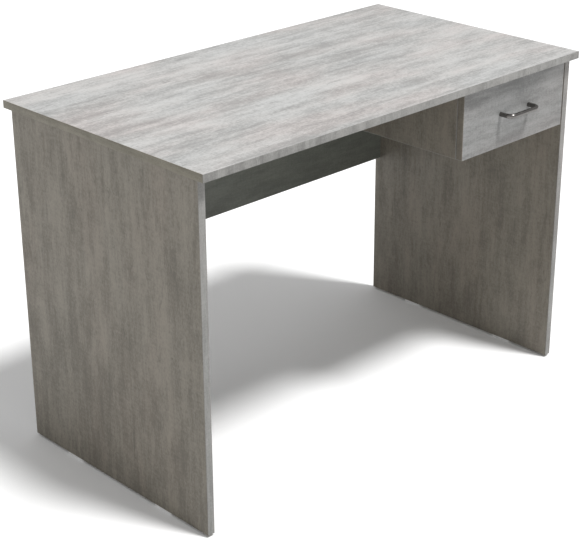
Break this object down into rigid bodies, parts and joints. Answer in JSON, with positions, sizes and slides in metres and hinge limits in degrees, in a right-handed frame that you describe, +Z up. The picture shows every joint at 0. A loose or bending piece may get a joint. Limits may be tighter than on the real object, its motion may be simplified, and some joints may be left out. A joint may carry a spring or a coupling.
{
  "type": "writing desk",
  "caption": "Panel-leg writing desk with a modesty panel and a pull-out drawer on roller runners under its right side.",
  "frame": {"origin": "on the floor under the middle of the desktop", "axes": "+X to the sitter's right along the desktop's long side, +Y away from the sitter towards the modesty panel, +Z up"},
  "size_m": [1.1, 0.614, 0.755],
  "materials": {
    "worktop_laminate": "matt woodgrain melamine, light grey",
    "worktop_band": "matt woodgrain edge band",
    "panel_laminate": "matt woodgrain melamine, grey, grain upright",
    "panel_band": "matt woodgrain edge band",
    "front_laminate": "matt woodgrain melamine, grey, grain along the front",
    "drawer_laminate": "matt melamine, grey",
    "hardboard": "smooth painted hardboard",
    "dowel_beech": "fluted beech",
    "cam_zinc": "die-cast zinc",
    "bolt_steel": "zinc-plated steel",
    "nail_steel": "bright steel",
    "rivet_steel": "zinc-plated steel",
    "handle_nickel": "satin nickel plate",
    "runner_paint": "white powder coat",
    "roller_nylon": "white nylon",
    "glide_plastic": "light grey plastic"
  },
  "bodies": {
    "carcass": {"desktop_board": "worktop_laminate", "desktop_edge_bands": "worktop_band", "left_side_panel": "panel_laminate", "right_side_panel": "panel_laminate", "side_panel_edge_bands": "panel_band", "modesty_panel": "panel_laminate", "modesty_edge_band": "panel_band", "drawer_partition": "panel_laminate", "partition_edge_bands": "panel_band", "floor_glides": "glide_plastic", "glide_nails": "nail_steel", "side_panel_cam_locks": "cam_zinc", "modesty_cam_locks": "cam_zinc", "partition_cam_locks": "cam_zinc", "side_panel_cam_bolts": "bolt_steel", "modesty_cam_bolts": "bolt_steel", "partition_cam_bolts": "bolt_steel", "side_panel_dowels": "dowel_beech", "modesty_dowels": "dowel_beech", "partition_dowels": "dowel_beech", "cabinet_runner_left": "runner_paint", "cabinet_runner_right": "runner_paint", "cabinet_roller_rivets": "rivet_steel", "cabinet_runner_screws": "bolt_steel"},
    "drawer": {"drawer_cam_locks": "cam_zinc", "drawer_cam_bolts": "bolt_steel", "drawer_dowels": "dowel_beech", "drawer_front": "front_laminate", "drawer_front_edge_bands": "panel_band", "drawer_left_side": "drawer_laminate", "drawer_right_side": "drawer_laminate", "drawer_back": "drawer_laminate", "drawer_box_edge_bands": "panel_band", "drawer_bottom": "hardboard", "drawer_bottom_nails": "nail_steel", "drawer_back_screws": "bolt_steel", "handle": "handle_nickel", "handle_screws": "bolt_steel", "drawer_runner_left": "runner_paint", "drawer_runner_right": "runner_paint", "drawer_roller_rivets": "rivet_steel", "drawer_runner_screws": "bolt_steel"},
    "cabinet_roller_left": {"cabinet_roller_left": "roller_nylon"},
    "cabinet_roller_right": {"cabinet_roller_right": "roller_nylon"},
    "drawer_roller_left": {"drawer_roller_left": "roller_nylon"},
    "drawer_roller_right": {"drawer_roller_right": "roller_nylon"}
  },
  "joints": [
    {"name": "drawer_slide", "type": "slide", "parent": "carcass", "child": "drawer", "axis": [0, -1, 0], "range_m": [0, 0.33]},
    {"name": "cabinet_roller_left_spin", "type": "hinge", "parent": "carcass", "child": "cabinet_roller_left", "pos_m": [0.20245, -0.249, 0.612], "axis": [1, 0, 0], "continuous": true},
    {"name": "cabinet_roller_right_spin", "type": "hinge", "parent": "carcass", "child": "cabinet_roller_right", "pos_m": [0.52355, -0.249, 0.612], "axis": [1, 0, 0], "continuous": true},
    {"name": "drawer_roller_left_spin", "type": "hinge", "parent": "drawer", "child": "drawer_roller_left", "pos_m": [0.20485, 0.173, 0.6115], "axis": [1, 0, 0], "continuous": true},
    {"name": "drawer_roller_right_spin", "type": "hinge", "parent": "drawer", "child": "drawer_roller_right", "pos_m": [0.52115, 0.173, 0.6115], "axis": [1, 0, 0], "continuous": true}
  ],
  "couplings": [
    {"joint": "cabinet_roller_left_spin", "follows": "drawer_slide", "rad_per_m": 90.909},
    {"joint": "cabinet_roller_right_spin", "follows": "drawer_slide", "rad_per_m": 90.909},
    {"joint": "drawer_roller_left_spin", "follows": "drawer_slide", "rad_per_m": 90.909},
    {"joint": "drawer_roller_right_spin", "follows": "drawer_slide", "rad_per_m": 90.909}
  ]
}
